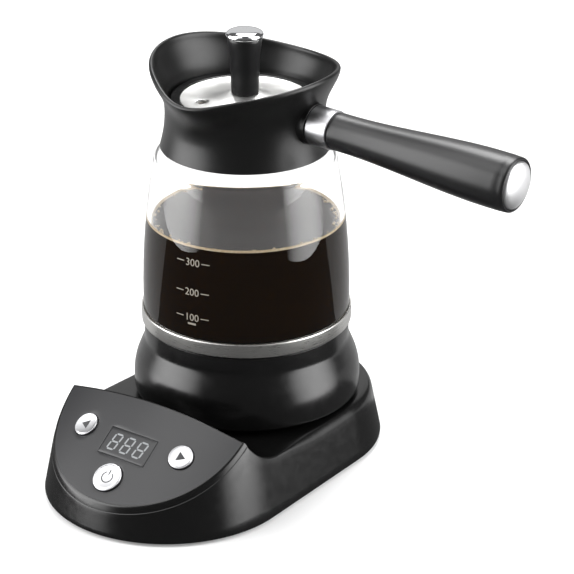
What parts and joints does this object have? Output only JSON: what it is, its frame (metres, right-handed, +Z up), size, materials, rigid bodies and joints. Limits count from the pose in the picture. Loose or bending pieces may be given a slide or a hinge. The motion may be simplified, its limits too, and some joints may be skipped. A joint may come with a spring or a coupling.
{
  "type": "electric turkish coffee maker",
  "caption": "Electric coffee maker: a lift-off glass pot with a waved collar, lid and straight side handle on a heated base with a sloped control panel.",
  "frame": {"origin": "point on the table below the pot's middle", "axes": "+Z up along the pot's axis; the console and the pouring lip face -Y; the handle points to +X"},
  "size_m": [0.2125, 0.193, 0.2128],
  "materials": {
    "gloss_black": "glossy injection-moulded black",
    "matte_black": "fine-textured moulded black",
    "panel_grey": "satin charcoal film over plastic",
    "smoked_pane": "smoked clear acrylic, glossy",
    "satin_steel": "satin stainless steel",
    "polished_steel": "polished stainless steel",
    "chrome_trim": "bright chrome plating",
    "clear_glass": "clear borosilicate glass",
    "rubber_black": "matte moulded rubber",
    "silicone_clear": "translucent silicone",
    "board_green": "solder mask over glass fibre",
    "zinc_steel": "zinc-plated screw steel",
    "brass": "bare contact brass",
    "aluminium": "die-cast aluminium",
    "display_black": "black display case",
    "relay_blue": "moulded blue case",
    "winding_yellow": "yellow winding tape"
  },
  "bodies": {
    "base": {"base_shell": "gloss_black", "base_plate": "matte_black", "rubber_feet": "rubber_black", "base_screws": "zinc_steel", "cord_gland": "rubber_black", "control_panel": "panel_grey", "display_window": "smoked_pane", "led_display": "display_black", "control_board": "board_green", "board_screws": "zinc_steel", "tact_switches": "matte_black", "power_board": "board_green", "relay": "relay_blue", "transformer": "winding_yellow", "base_connector": "matte_black", "contact_rings": "brass"},
    "pot": {"pot_housing": "gloss_black", "pot_underplate": "matte_black", "pot_screws": "zinc_steel", "pot_connector": "matte_black", "heating_element": "aluminium", "temperature_sensor": "brass", "heating_plate": "satin_steel", "plate_gasket": "silicone_clear", "metal_ring": "satin_steel", "glass_body": "clear_glass", "collar_gasket": "silicone_clear", "collar": "gloss_black", "handle_ferrule": "satin_steel", "handle_grip": "gloss_black", "handle_rod": "zinc_steel", "handle_end_cap": "chrome_trim"},
    "lid": {"lid_rim": "gloss_black", "lid_plate": "polished_steel", "lid_seal": "silicone_clear", "knob_stem": "gloss_black", "knob_cap": "chrome_trim", "knob_screw": "zinc_steel"},
    "power_key": {"power_button": "chrome_trim"},
    "left_key": {"left_button": "chrome_trim"},
    "right_key": {"right_button": "chrome_trim"}
  },
  "joints": [
    {"name": "pot_lift", "type": "slide", "parent": "base", "child": "pot", "axis": [0, 0, 1], "range_m": [0, 0.08]},
    {"name": "lid_lift", "type": "slide", "parent": "pot", "child": "lid", "axis": [0, 0, 1], "range_m": [0, 0.06]},
    {"name": "power_press", "type": "slide", "parent": "base", "child": "power_key", "axis": [0, 0.5736, -0.8192], "range_m": [0, 0.0008], "stiffness_N_per_m": 400},
    {"name": "left_press", "type": "slide", "parent": "base", "child": "left_key", "axis": [0, 0.5736, -0.8192], "range_m": [0, 0.0008], "stiffness_N_per_m": 400},
    {"name": "right_press", "type": "slide", "parent": "base", "child": "right_key", "axis": [0, 0.5736, -0.8192], "range_m": [0, 0.0008], "stiffness_N_per_m": 400}
  ]
}
